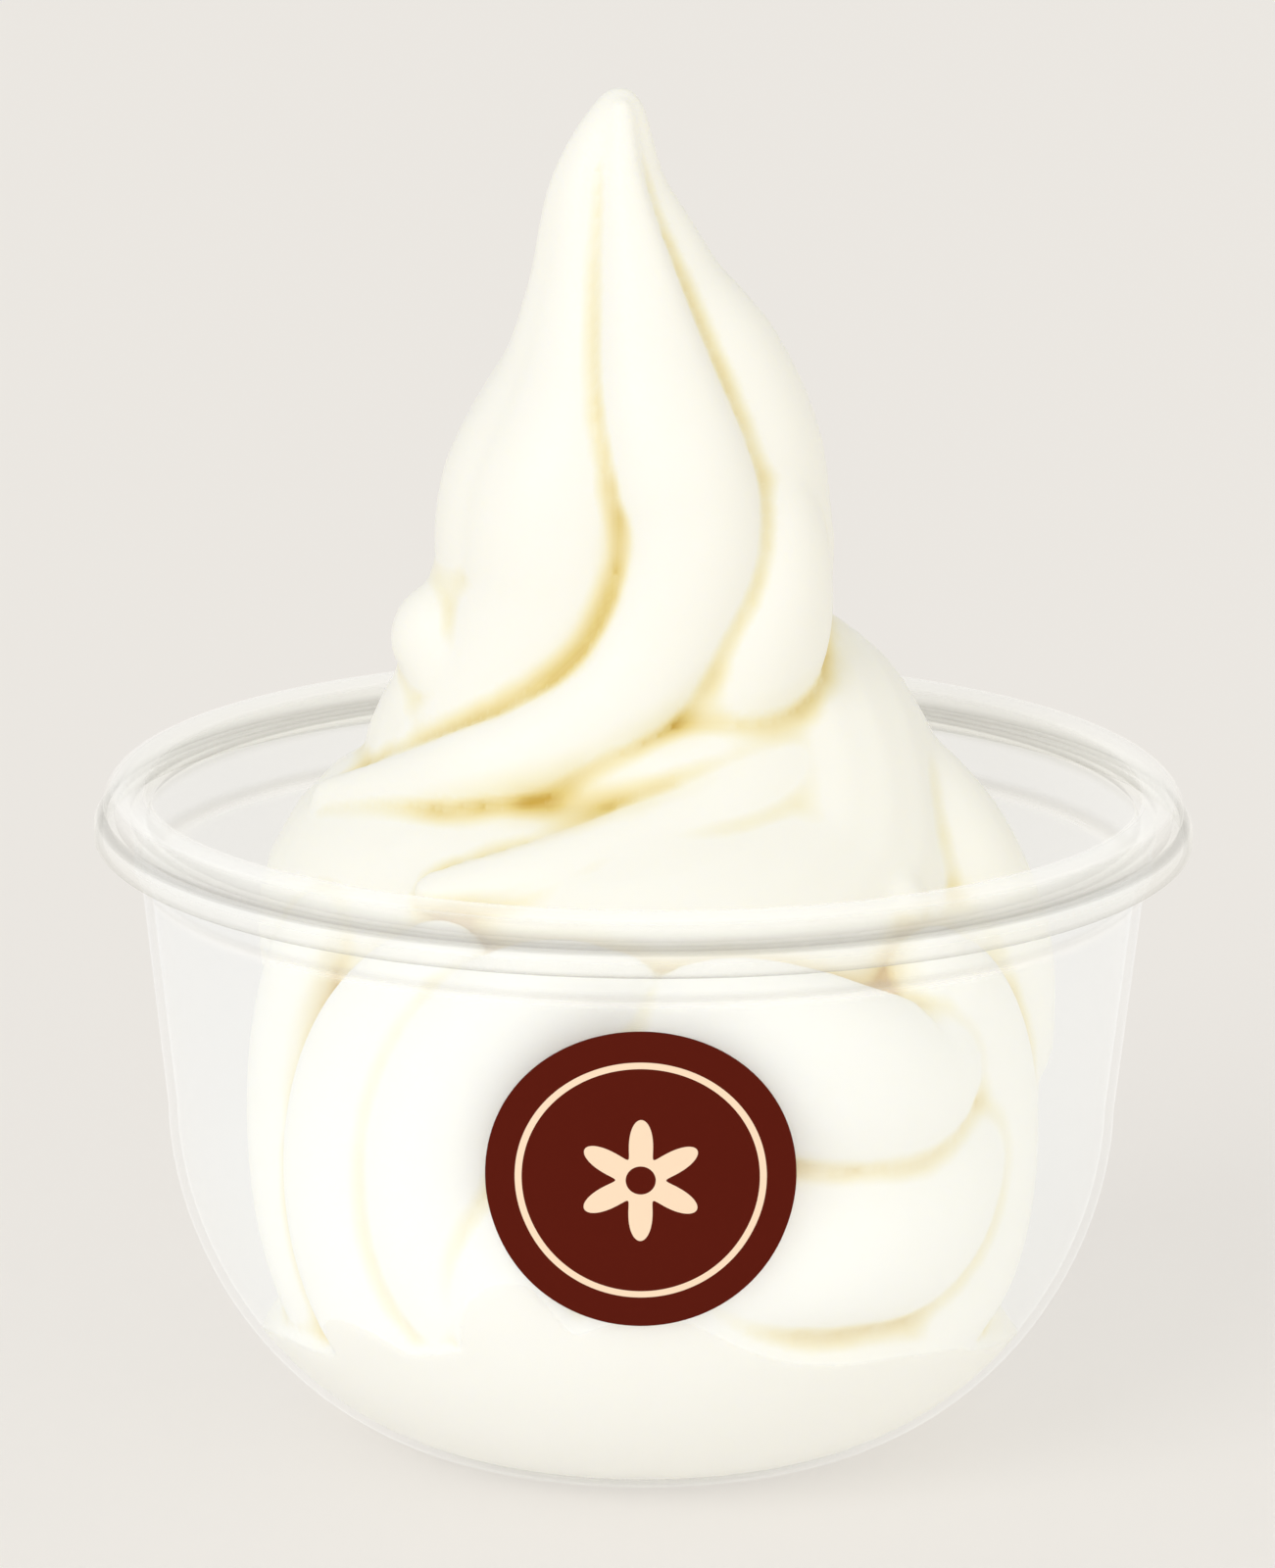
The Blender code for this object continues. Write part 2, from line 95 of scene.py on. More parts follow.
cup = {
    "height": 60.3, "rimRadius": 49.0, "wall": 0.8,
    "footRadius": 15.6, "footWidth": 3.5, "footRecess": 1.0,
    "bellyRadius": 42.4, "bellyHeight": 30.8, "fullness": 1.86,
    "stepRadius": 44.8, "stepHeight": 51.6, "stepRise": 0.8, "collarRadius": 45.4,
    "seatHeight": 56.4, "seatRadius": 45.8,
    "rimCrown": 46.0, "rimRoll": 2.2, "rimShoulder": 48.2, "lipHeight": 57.2, "rimFoot": 55.0,
    # the corners inside the roll and along the lip: how far in or down each one lies
    "rollDrop": 1.0, "rollEdge": 0.5, "lipEdge": 0.4, "lipDrop": 0.9, "lipRound": (0.3, 0.2),
    "shoulderInset": 0.35, "seatLip": 0.3,
    # steps up the wall, up a finer line of it, over the roll and round the cup, and the angle
    # from which an edge looks sharp
    "wallSteps": 28, "fineSteps": 60, "rollSteps": 16, "steps": 192, "sharp": 40,
    # what lies outside the first or above the second is the rolled rim
    "rimStarts": 46.7, "rimAbove": 56.5,
    # what one sees of the sheet at each height: its tone and how dense it looks; darker and denser
    # towards the foot, with a painted highlight line and painted shade lines along the step and the seat
    "wallVeilAndPaintedLight": [(0, "#dddcd6", 0.45), (0.8, "#f4f4f0", 0.3), (2.0, "#f6faff", 0.15),
                 (50.8, "#f6faff", 0.15), (51.5, "#ffffff", 0.28), (52.2, "#d4d4d2", 0.3),
                 (52.9, "#f6faff", 0.15), (55.6, "#f6faff", 0.15), (56.3, "#dadad8", 0.3)],
    # the rolled rim, whose tones are painted light: a painted highlight on the crown and along the lip,
    # painted shade on the roll's outer face, in the groove under it and along the rim's foot
    "rimVeilAndPaintedLight": [(55.0, "#aaa89f", 0.4), (55.4, "#e2e1dc", 0.24), (56.9, "#f5f5f2", 0.32),
                (57.1, "#a3a29d", 0.45), (57.6, "#b4b3ae", 0.34), (58.0, "#e6e6e2", 0.2),
                (59.4, "#f0f0ee", 0.22), (59.8, "#fcfcfb", 0.42), (60.3, "#fcfcfb", 0.42)],
    # how dense the sheet looks where it turns away from the eye
    "edgeVeil": [(0.0, 0.0), (0.72, 0.0), (0.93, 0.22), (1.0, 0.6)],
}


def outerWall(steps):
    reach = cup["bellyRadius"] - cup["footRadius"]
    points = []
    for i in range(steps + 1):
        t = 0.5 * math.pi * (1 - i / steps)
        across = max(math.cos(t), 0.0) ** (2 / cup["fullness"])
        down = math.sin(t) ** (2 / cup["fullness"])
        points.append((cup["footRadius"] + reach * across, cup["bellyHeight"] * (1 - down)))
    return points + [(cup["stepRadius"], cup["stepHeight"])]


def offsetInward(points, distance):
    moved = []
    for i, (r, z) in enumerate(points):
        before, after = points[max(i - 1, 0)], points[min(i + 1, len(points) - 1)]
        run = Vector((after[0] - before[0], after[1] - before[1])).normalized()
        moved.append((r - run.y * distance, z + run.x * distance))
    return moved


def radiusAt(line, height):
    return float(np.interp(height, [z for r, z in line], [r for r, z in line]))


def arc(centre, radius, start, end, steps):
    angles = np.radians(np.linspace(start, end, steps + 1))
    return [(centre[0] + radius * math.cos(a), centre[1] + radius * math.sin(a)) for a in angles]


def cupProfile():
    c = cup
    wall = c["wall"]
    outside = outerWall(c["wallSteps"]) + [
        (c["collarRadius"], c["stepHeight"] + c["stepRise"]),
        (c["collarRadius"], c["seatHeight"] - wall),
    ]
    inside = offsetInward(outside, wall)
    recess = c["footRadius"] - c["footWidth"]
    crown = c["height"] - c["rollDrop"]
    edge, lipIn, lipDown = c["lipEdge"], *c["lipRound"]
    profile = [(0, c["footRecess"]), (recess - c["footRecess"], c["footRecess"]), (recess, 0)]
    profile += outside
    profile += [
        (c["seatRadius"], c["seatHeight"] - c["seatLip"]),
        (c["seatRadius"], crown - wall),
        (c["seatRadius"] + edge, crown),
        (c["rimShoulder"] - 1.6 * wall, crown - c["rollEdge"]),
        (c["rimShoulder"] - 1.2 * wall, c["lipHeight"] + edge),
        (c["rimShoulder"] - 1.3 * wall, c["lipHeight"] - edge),
        (c["rimRadius"] - wall, c["lipHeight"] - c["lipDrop"]),
        (c["rimRadius"] - wall, c["rimFoot"] + lipDown),
        (c["rimRadius"] - 0.5 * wall, c["rimFoot"]),
        (c["rimRadius"], c["rimFoot"] + lipIn),
        (c["rimRadius"], c["lipHeight"] - 2 * lipIn),
        (c["rimRadius"] - lipIn, c["lipHeight"] - lipDown),
        (c["rimShoulder"] - c["shoulderInset"], c["lipHeight"]),
        (c["rimShoulder"] - c["shoulderInset"], c["lipHeight"] + lipDown),
    ]
    rollCentre = (c["rimCrown"], c["height"] - c["rimRoll"])
    profile += arc(rollCentre, c["rimRoll"], 0, 180, c["rollSteps"])
    profile += [(c["collarRadius"] - wall, c["seatHeight"] + lipDown)]
    profile += inside[::-1]
    profile += [(recess - c["footRecess"], c["footRecess"] + wall), (0, c["footRecess"] + wall)]
    return [(r * mm, z * mm) for r, z in profile]


def setStops(ramp, stops):
    elements = ramp.color_ramp.elements
    while len(elements) < len(stops):
        elements.new(0.5)
    for element, (position, colour) in zip(elements, stops):
        element.position, element.color = position, colour


def letLightThrough(material, shader, tint):
    # what is thin casts hardly a shadow on the swirl behind it
    clear = addNode(material, "BsdfTransparent", {"Color": linear(tint)})
    path = addNode(material, "LightPath")
    mixed = addNode(material, "MixShader", links={
        0: path.outputs["Is Shadow Ray"], 1: shader.outputs[0], 2: clear.outputs[0]})
    output = material.node_tree.nodes["Material Output"]
    material.node_tree.links.new(mixed.outputs[0], output.inputs["Surface"])


def clearPlastic(name, veilAndPaintedLight):
    # PET, thermoformed from clear sheet: a faint bright veil, denser along its corners and its rolled
    # rim, where one looks through more of it; the sheet also glows faintly, and its tone by height
    # paints highlight and shade lines on the ledges and the rim
    # the emission is painted light: a faint glow that keeps the veil bright where the lamps leave it in
    # shade
    material, shader = newMaterial(name, Roughness=0.08, IOR=1.45, Emission_Strength=0.17)
    place = addNode(material, "TexCoord")
    axes = addNode(material, "SeparateXYZ", links={"Vector": place.outputs["Object"]})
    low, high = veilAndPaintedLight[0][0], veilAndPaintedLight[-1][0]
    share = addNode(material, "MapRange", {"From Min": low * mm, "From Max": high * mm},
                    {"Value": axes.outputs["Z"]})
    tone = addNode(material, "ValToRGB", links={"Fac": share.outputs["Result"]})
    setStops(tone, [((height - low) / (high - low), linear(colour)[:3] + [density])
                    for height, colour, density in veilAndPaintedLight])
    links = material.node_tree.links
    links.new(tone.outputs["Color"], shader.inputs["Base Color"])
    # the same tone, with its painted highlight and shade lines, also glows
    links.new(tone.outputs["Color"], shader.inputs["Emission Color"])
    edge = addNode(material, "LayerWeight", {"Blend": 0.5})
    dense = addNode(material, "ValToRGB", links={"Fac": edge.outputs["Facing"]})
    setStops(dense, [(facing, [1, 1, 1, density]) for facing, density in cup["edgeVeil"]])
    alpha = addNode(material, "Math", links={0: tone.outputs["Alpha"], 1: dense.outputs["Alpha"]},
                    operation="MAXIMUM")
    links.new(alpha.outputs[0], shader.inputs["Alpha"])
    letLightThrough(material, shader, "#ffffff")
    return material


def makeCup():
    bm = bmesh.new()
    spinProfile(bm, cupProfile(), cup["steps"])
    wall = clearPlastic("clearPetThermoformed", cup["wallVeilAndPaintedLight"])
    piece = finishPiece("cupWall", bm, wall, node="cup")
    piece.data.materials.append(clearPlastic("clearPetRolled", cup["rimVeilAndPaintedLight"]))
    for face in piece.data.polygons:
        outer = math.hypot(face.center.x, face.center.y) > cup["rimStarts"] * mm
        face.material_index = int(outer or face.center.z > cup["rimAbove"] * mm)
    piece.data.set_sharp_from_angle(angle=math.radians(cup["sharp"]))
    print("cup made")


swirl = {
    "grain": 0.64, "smoothing": 3, "wallOverlap": 0.1,
    "fillRadius": 32.0, "fillFoot": 45.0, "fillSpread": 17.0, "fillForward": 5.5,
    "fillCrown": 51.0, "shoulder": 12.0, "fillLevels": 41, "fillSteps": 96,
    # unevenness round the filling: share of the radius, count and start
    "fillWaves": [(0.06, 2, 1.57), (0.02, 5, 2.0), (0.012, 9, 0.5)],
    "ropeSides": 72, "ropeStations": 140, "barSides": 24, "stationsPerPoint": 6,
    # direction in degrees, distance and radius of each flute, as shares of the rope
    "flutes": [
        (74, 0.46, 0.52), (120, 0.60, 0.38), (160, 0.60, 0.38), (203, 0.62, 0.36),
        (245, 0.60, 0.41), (285, 0.49, 0.51), (309, 0.44, 0.54), (0, 0.28, 0.48),
    ],
    # across, back, height and radius, from the tip down
    "peak": [
        (-2.4, 0, 123.0, 1.0), (-2.6, 0, 121.0, 2.6), (-3.4, 0, 114.0, 5.7),
        (-2.2, 0, 106.0, 9.0), (-0.8, 0, 98.5, 13.6), (-0.4, 0, 92.0, 16.6),
        (-0.8, 0, 85.0, 18.1), (-1.1, 0, 78.5, 18.1), (-3.5, 0, 72.0, 17.6),
    ],
    # turns down from the front, distance from the axis, height and radius
    "coil": [
        (0.25, 9.5, 60.5, 15.8), (0.50, 10, 60.0, 16.5), (0.72, 9.5, 59.5, 16.8),
        (0.85, 14.0, 50.0, 16.5), (1.00, 17.5, 45.0, 17.5), (1.25, 16.5, 47.0, 18.0),
        (1.50, 15.5, 44.0, 18.0), (1.75, 17.5, 43.0, 18.0), (2.00, 15, 36.0, 18.0),
    ],
    # strands and smaller folds: flatness and lift, then across, back, height and half width
    "strands": {
        "middle": (0.75, 0.1, [
            (-2.6, -1.8, 121.2, 1.5), (-2.3, -4.0, 114.2, 2.4), (-0.7, -7.0, 105.8, 3.8),
            (1.1, -10.3, 97.6, 5.5), (2.9, -11.8, 91.8, 6.2), (4.2, -12.2, 87.0, 6.3),
            (4.0, -12.9, 82.1, 6.2), (1.1, -14.0, 75.6, 5.4), (-3.5, -15.0, 70.3, 4.7),
            (-10.0, -15.6, 66.7, 4.1), (-15.6, -14.4, 64.7, 3.6), (-22.0, -9.8, 61.6, 3.0),
            (-27.8, -4.6, 59.4, 2.1)]),
        "right": (0.7, 0.1, [
            (9.0, -6.0, 94.0, 2.5), (11.8, -7.6, 87.0, 4.2), (12.2, -9.2, 80.5, 5.4),
            (10.8, -10.4, 75.5, 6.2), (8.2, -11.4, 72.2, 6.2), (5.6, -12.0, 71.0, 5.4)]),
        "inner": (0.7, 1.0, [
            (4.0, -15.6, 61.6, 2.2), (-3.1, -18.6, 61.2, 2.2), (-10.0, -18.3, 60.2, 1.9),
            (-16.8, -18.0, 59.0, 1.6), (-22.0, -16.2, 57.6, 1.2)]),
        "outer": (0.7, 1.0, [
            (18.0, -7.6, 66.8, 2.4), (13.6, -12.4, 65.0, 4.0), (9.0, -16.4, 62.8, 5.0),
            (3.4, -20.2, 60.2, 5.0), (-3.0, -23.0, 58.6, 4.4), (-10.0, -24.4, 57.4, 3.4),
            (-18.0, -24.0, 56.0, 2.2)]),
        "lap": (1.0, 0.5, [
            (12.5, -9.5, 66.0, 4.4), (6.0, -12.8, 65.2, 4.8), (-2.0, -14.4, 63.6, 4.6),
            (-10.0, -13.5, 61.5, 4.0)]),
        "knob": (1.0, 0.0, [(-10, -6, 68, 6.5), (-15.2, -5, 71.8, 6.0), (-17.4, -4, 74.2, 5.2)]),
        "blob": (0.9, 1.0, [(18.6, -18.0, 53.2, 3.2), (21.6, -17.2, 53.8, 3.4)]),
        "side": (1.0, 0.5, [(19, 0, 60, 8), (24, -3, 54, 9), (28, -3, 46, 8.5), (29, -2, 38, 8)]),
    },
    # strands along the coil's back: from and to in turns, direction up from outward, half width
    "coilStrands": [
        (0.3, 0.72, 20, 5.0), (0.3, 0.7, 58, 4.5), (1.3, 1.75, 45, 5.0), (1.32, 1.7, 10, 5.0),
    ],
    # how flat they are, and the share of the half width that they lie below the coil's skin
    "coilStrandFlatness": 0.7, "coilStrandSink": 0.35,
    # the folds round the filling: how flat, how deep they lie in it, how much deeper their ends
    # go, how thin those are, and the millimetres that one degree counts for along a fold
    "foldFlatness": 0.6, "foldSink": 0.5, "foldTaper": 0.3, "foldEnd": 0.5, "foldRun": 0.6,
    # half width of each fold, then direction in degrees and height along it
    "wallFolds": {
        "leftEdge": (6.5, [(-72, 49), (-77, 41), (-78, 33), (-73, 24), (-63, 16)]),
        "leftOuter": (7.5, [(-36, 50), (-42.5, 46), (-48, 41.5), (-52, 36.5), (-54, 31),
                            (-53, 25), (-48, 19), (-40, 14)]),
        "leftInner": (7.5, [(-6, 49), (-12, 49), (-19, 47.5), (-27, 43.5), (-32.5, 38), (-34.5, 32.6),
                            (-34, 25.5), (-28, 19)]),
        "middle": (7.0, [(0, 30), (-12, 29), (-19, 24), (-15, 18.5), (-6, 17)]),
        "rightUpper": (8.5, [(4, 46), (14, 46), (24, 44), (34, 41.5), (44, 40), (53, 40.5), (59, 43.4)]),
        "rightLower": (8.0, [(2, 25), (11, 26), (22, 27), (34, 27), (48, 27), (61, 30.4), (72, 35)]),
        "rightOuter": (7.0, [(58, 48), (68, 42), (76, 34), (75, 27), (66, 21), (50, 17)]),
    },
    # where round the filling the folds come again, in degrees
    "wallTurns": (0, 168),
    # close and wide hollows, painted in shade: how many times the form is smoothed, how many millimetres
    # below that counts as full, and their share
    "hollows": [(14, 0.42, 0.7), (60, 1.6, 0.25)],
    # how much of each point is kept when the form is smoothed, and how often the depths and
    # the shade are
    "keep": 0.3, "depthPasses": 2, "shadePasses": 8,
    # rays that look for what shades a point: how many, from how far off the skin and how far, then the
    # shares of hidden surroundings at which the painted golden shade starts and is full, and its share
    "shadeRays": 9, "shadeLift": 0.3, "shadeReach": 22.0, "shadeShare": (0.06, 0.62, 0.55),
}


def withPlaces(points):
    # puts before each point how far along the line it is
    keys, along = [], 0.0
    for i, point in enumerate(points):
        if i:
            along += (Vector(point[:3]) - Vector(points[i - 1][:3])).length
        keys.append((along, *point))
    return keys


def between(keys, at):
    # a smooth curve through the keys, whose first number is the place
    i = max(0, min(len(keys) - 2, sum(key[0] <= at for key in keys) - 1))
    a, b, c, d = [np.array(keys[max(0, min(len(keys) - 1, i + k))]) for k in (-1, 0, 1, 2)]
    t = (at - b[0]) / (c[0] - b[0])
    curve = 2 * b + (c - a) * t + (2 * a - 5 * b + 4 * c - d) * t**2 + (3 * b - a - 3 * c + d) * t**3
    return 0.5 * curve[1:]


def lineMatrices(keys, stations, front, flat=1.0, lift=None):
    # where a bar's outline lies at each station: without any twist of its own or, given a lift,
    # with its flat side facing away from the axis
    samples = [between(keys, keys[-1][0] * i / (stations - 1)) for i in range(stations)]
    centres = [Vector(s[:3]) * mm for s in samples]
    heading = (centres[1] - centres[0]).normalized()
    front = (front - heading * front.dot(heading)).normalized()
    matrices = []
    for i, centre in enumerate(centres):
        after, before = centres[min(i + 1, stations - 1)], centres[max(i - 1, 0)]
        turned = (after - before).normalized()
        front.rotate(heading.rotation_difference(turned))
        heading = turned
        if lift is not None:
            outward = Vector((centre.x, centre.y, lift * math.hypot(centre.x, centre.y) + 0.1 * mm))
            front = (outward - heading * outward.dot(heading)).normalized()
        axes = Matrix((front.cross(heading), front, -heading)).transposed().to_4x4()
        size = samples[i][3] * mm
        scale = Matrix.Diagonal((size, size * flat, size, 1))
        matrices.append(Matrix.Translation(centre) @ axes @ scale)
    return matrices


def fluteReach(angle):
    reach = 0.0
    for direction, away, size in swirl["flutes"]:
        off = angle - math.radians(direction)
        inside = size**2 - (away * math.sin(off)) ** 2
        if math.cos(off) > 0 and inside > 0:
            reach = max(reach, away * math.cos(off) + math.sqrt(inside))
    return reach


def roundReach(angle):
    return 1.0


def sweep(bm, matrices, reachAt, sides):
    ring = bmesh.ops.create_circle(bm, cap_ends=True, segments=sides, radius=1.0)["verts"]
    for vert in ring:
        angle = math.atan2(vert.co.x, vert.co.y)
        vert.co = Vector((math.sin(angle), math.cos(angle), 0)) * reachAt(angle)
    bmesh.ops.transform(bm, matrix=matrices[0], verts=ring)
    edges = list({edge for vert in ring for edge in vert.link_edges})
    for last, here in zip(matrices, matrices[1:]):
        grown = bmesh.ops.extrude_edge_only(bm, edges=edges)["geom"]
        ring = [item for item in grown if isinstance(item, bmesh.types.BMVert)]
        edges = [item for item in grown if isinstance(item, bmesh.types.BMEdge)]
        bmesh.ops.transform(bm, matrix=here @ last.inverted(), verts=ring)
    bmesh.ops.holes_fill(bm, edges=edges, sides=0)


def joinShape(bm, shape):
    # each shape is made on its own, which is much quicker, and then joins the rest
    mesh = bpy.data.meshes.new("shape")
    shape.to_mesh(mesh)
    shape.free()
    bm.from_mesh(mesh)
    bpy.data.meshes.remove(mesh)


def bar(bm, points, stations, flat=1.0, lift=None):
    # an oval fold with round ends
    shape = bmesh.new()
    matrices = lineMatrices(withPlaces(points), stations, Vector((0, -1, 0)), flat, lift)
    sweep(shape, matrices, roundReach, swirl["barSides"])
    for end in (matrices[0], matrices[-1]):
        bmesh.ops.create_icosphere(shape, subdivisions=3, radius=1.0, matrix=end)
    joinShape(bm, shape)


def filling(bm):
    s = swirl
    low, crown = cup["footRecess"] + cup["wall"], s["fillCrown"]
    profile = [(0, low)]
    for z in np.linspace(low, crown, s["fillLevels"]):
        into = min(max(0.0, (z - (crown - s["shoulder"])) / s["shoulder"]), 1.0)
        spread = max(0.0, 1 - (z - low) / s["fillSpread"]) ** 1.5
        wide = s["fillRadius"] + (s["fillFoot"] - s["fillRadius"]) * spread
        profile.append((wide - s["shoulder"] * (1 - math.sqrt(1 - into**2)), z))
    profile.append((0, crown))
    spinProfile(bm, [(r * mm, z * mm) for r, z in profile], s["fillSteps"])
    for vert in bm.verts:
        # the contact line with the wall wanders
        turn = math.atan2(vert.co.x, -vert.co.y)
        wave = sum(size * math.sin(count * turn + start) for size, count, start in s["fillWaves"])
        vert.co.x *= 1 + wave
        vert.co.y = vert.co.y * (1 + wave) - s["fillForward"] * mm


def coilPoints():
    points = []
    for turns, away, height, radius in swirl["coil"]:
        angle = -2 * math.pi * (turns + 0.25)
        points.append((away * math.cos(angle), away * math.sin(angle), height, radius))
    return points


def rope(bm):
    # fluted down the peak, round where the strands lie on it
    coil = coilPoints()
    keys = withPlaces(swirl["peak"] + coil[:1])
    matrices = lineMatrices(keys, swirl["ropeStations"], Vector((0, -1, 0)))
    shape = bmesh.new()
    sweep(shape, matrices, fluteReach, swirl["ropeSides"])
    joinShape(bm, shape)
    bar(bm, coil, swirl["ropeStations"])


def coilStrands(bm, stations=16):
    places = [turns for turns, *rest in swirl["coil"]]
    keys = [(turns, *point) for turns, point in zip(places, coilPoints())]
    for start, end, rise, wide in swirl["coilStrands"]:
        points = []
        for i in range(stations):
            x, y, z, radius = between(keys, start + (end - start) * i / (stations - 1))
            skin = radius - swirl["coilStrandSink"] * wide
            away = skin * math.cos(math.radians(rise)) / math.hypot(x, y)
            up = skin * math.sin(math.radians(rise))
            share = math.sin(math.pi * (i + 0.5) / stations) ** 0.5
            points.append((x + x * away, y + y * away, z + up, wide * share))
        bar(bm, points, 2 * stations, swirl["coilStrandFlatness"], math.tan(math.radians(rise)))


def strands(bm):
    for flat, lift, points in swirl["strands"].values():
        bar(bm, points, swirl["stationsPerPoint"] * len(points), flat, lift)


def wallFolds(bm, turn, stations=24):
    s = swirl
    for thick, line in s["wallFolds"].values():
        keys = withPlaces([(s["foldRun"] * direction, height, 0) for direction, height in line])
        points = []
        for i in range(stations):
            across, height, _ = between(keys, keys[-1][0] * i / (stations - 1))
            share = math.sin(math.pi * (i + 1) / (stations + 1)) ** 0.5
            away = s["fillRadius"] - s["foldSink"] - s["foldTaper"] * thick * (1 - share)
            angle = math.radians(across / s["foldRun"] + turn)
            points.append((
                away * math.sin(angle), -away * math.cos(angle) - s["fillForward"],
                height, thick * (s["foldEnd"] + (1 - s["foldEnd"]) * share)))
        bar(bm, points, stations, s["foldFlatness"], 0.0)


def fuse(piece):
    # one skin over the overlapping shapes, softened
    remesh = piece.modifiers.new("fuse", "REMESH")
    remesh.mode = "VOXEL"
    remesh.voxel_size = swirl["grain"] * mm
    soften = piece.modifiers.new("soften", "SMOOTH")
    soften.factor = 0.5
    soften.iterations = swirl["smoothing"]
    graph = bpy.context.evaluated_depsgraph_get()
    fused = bpy.data.meshes.new_from_object(piece.evaluated_get(graph))
    piece.modifiers.clear()
    piece.data = fused


def pressToCup(piece):
    # reaches just into the wall, so that no air shows between them
    depth = cup["wall"] - swirl["wallOverlap"]
    line = offsetInward(outerWall(cup["fineSteps"]), depth)
    places = np.empty(len(piece.data.vertices) * 3)
    piece.data.vertices.foreach_get("co", places)
    places = places.reshape(-1, 3)
    places[:, 2] = np.maximum(places[:, 2], (cup["footRecess"] + depth) * mm)
    away = np.hypot(places[:, 0], places[:, 1])
    heights, radii = [z * mm for r, z in line], [r * mm for r, z in line]
    limit = np.interp(places[:, 2], heights, radii)
    places[:, :2] *= np.minimum(1, limit / np.maximum(away, 1e-6))[:, None]
    piece.data.vertices.foreach_set("co", places.ravel())
    piece.data.update()


def shadeAt(mesh, places, normals):
    # the share of its surroundings that the swirl itself hides from each point
    tree = BVHTree.FromPolygons(places.tolist(), [tuple(face.vertices) for face in mesh.polygons])
    rays, reach = swirl["shadeRays"], swirl["shadeReach"] * mm
    across = np.cross(normals, (0.3, 0.5, 0.8))
    across /= np.linalg.norm(across, axis=1)[:, None]
    over = np.cross(normals, across)
    starts = (places + normals * swirl["shadeLift"] * mm).tolist()
    golden = math.pi * (3 - math.sqrt(5))
    hidden = np.zeros(len(places))
    for k in range(rays):
        side = math.sqrt((k + 0.5) / rays)
        turn = golden * (k + np.arange(len(places)))[:, None]
        sideways = np.cos(turn) * across + np.sin(turn) * over
        towards = math.sqrt(1 - side**2) * normals + side * sideways
        hits = [tree.ray_cast(start, ray, reach)[0] is not None
                for start, ray in zip(starts, towards.tolist())]
        hidden += np.array(hits) / rays
    return hidden


def markPaintedCreaseShade(piece):
    # how far each point lies below what is close by and what is further round it, with how much it is
    # shaded: 0 on a crest, 1 in a crease; it sets how much golden shade is painted into the swirl's
    # colour
    mesh = piece.data
    count = len(mesh.vertices)
    places = np.empty(count * 3)
    mesh.vertices.foreach_get("co", places)
    places = places.reshape(-1, 3)
    normals = np.empty(count * 3)
    mesh.vertex_normals.foreach_get("vector", normals)
    normals = normals.reshape(-1, 3)
    edges = np.empty(len(mesh.edges) * 2, int)
    mesh.edges.foreach_get("vertices", edges)
    a, b = edges.reshape(-1, 2).T
    neighbours = np.bincount(a, minlength=count) + np.bincount(b, minlength=count)

    def blurred(values):
        total = np.bincount(a, values[b], count) + np.bincount(b, values[a], count)
        return swirl["keep"] * values + (1 - swirl["keep"]) * total / neighbours

    smooth = [places[:, k] for k in range(3)]
    total, done = np.zeros(count), 0
    for passes, deep, share in swirl["hollows"]:
        for _ in range(passes - done):
            smooth = [blurred(values) for values in smooth]
        done = passes
        depth = ((np.stack(smooth, 1) - places) * normals).sum(1)
        for _ in range(swirl["depthPasses"]):
            depth = blurred(depth)
        total += share * np.clip(depth / (deep * mm), 0, 1)
    shade = shadeAt(mesh, places, normals)
    for _ in range(swirl["shadePasses"]):
        shade = blurred(shade)
    start, full, share = swirl["shadeShare"]
    total += share * np.clip((shade - start) / (full - start), 0, 1)
    # stored for the material, which paints shade by it
    paintedCreaseShade = mesh.attributes.new("paintedCreaseShade", "FLOAT", "POINT")
    paintedCreaseShade.data.foreach_set("value", np.clip(total, 0, 1))


def iceCream():
    # soft serve, drawn from a star nozzle: milky and matt, with golden shade painted into its folds,
    # where light would be trapped
    material, shader = newMaterial(
        "softServeExtruded", Roughness=0.42, IOR=1.36, Subsurface_Weight=0.25,
        Subsurface_Radius=(1.0, 0.95, 0.7), Subsurface_Scale=3.5 * mm,
    )
    paintedCreaseShade = addNode(material, "Attribute", attribute_name="paintedCreaseShade")
    # painted shade: near white on crests, cream then gold the deeper a point lies in a crease or the
    # more the swirl hides its surroundings
    tint = addNode(material, "ValToRGB", links={"Fac": paintedCreaseShade.outputs["Fac"]})
    setStops(tint, [(0.04, linear("#fefdf4")), (0.4, linear("#f6ecc5")), (0.75, linear("#e8d48c")),
                    (1.0, linear("#d0aa3c"))])
    place = addNode(material, "TexCoord")
    # the faint grain of ice crystals, drawn at 0.5 mm so that it shows
    grain = addNode(material, "TexNoise", {"Scale": 1 / (0.5 * mm), "Detail": 2},
                    {"Vector": place.outputs["Object"]})
    # slow unevenness of the flow
    flow = addNode(material, "TexNoise", {"Scale": 1 / (9 * mm), "Detail": 1},
                   {"Vector": place.outputs["Object"]})
    fine = addNode(material, "Bump", {"Strength": 0.05, "Distance": 0.05 * mm},
                   {"Height": grain.outputs["Fac"]})
    bump = addNode(material, "Bump", {"Strength": 0.25, "Distance": 0.8 * mm},
                   {"Height": flow.outputs["Fac"], "Normal": fine.outputs["Normal"]})
    links = material.node_tree.links
    links.new(tint.outputs["Color"], shader.inputs["Base Color"])
    links.new(bump.outputs["Normal"], shader.inputs["Normal"])
    return material


def makeSwirl():
    bm = bmesh.new()
    filling(bm)
    rope(bm)
    strands(bm)
    coilStrands(bm)
    for turn in swirl["wallTurns"]:
        wallFolds(bm, turn)
    piece = finishPiece("softServe", bm, iceCream(), node="soft_serve")
    fuse(piece)
    pressToCup(piece)
    markPaintedCreaseShade(piece)
    piece.data.shade_smooth()
    print("soft serve made,", len(piece.data.polygons), "faces")


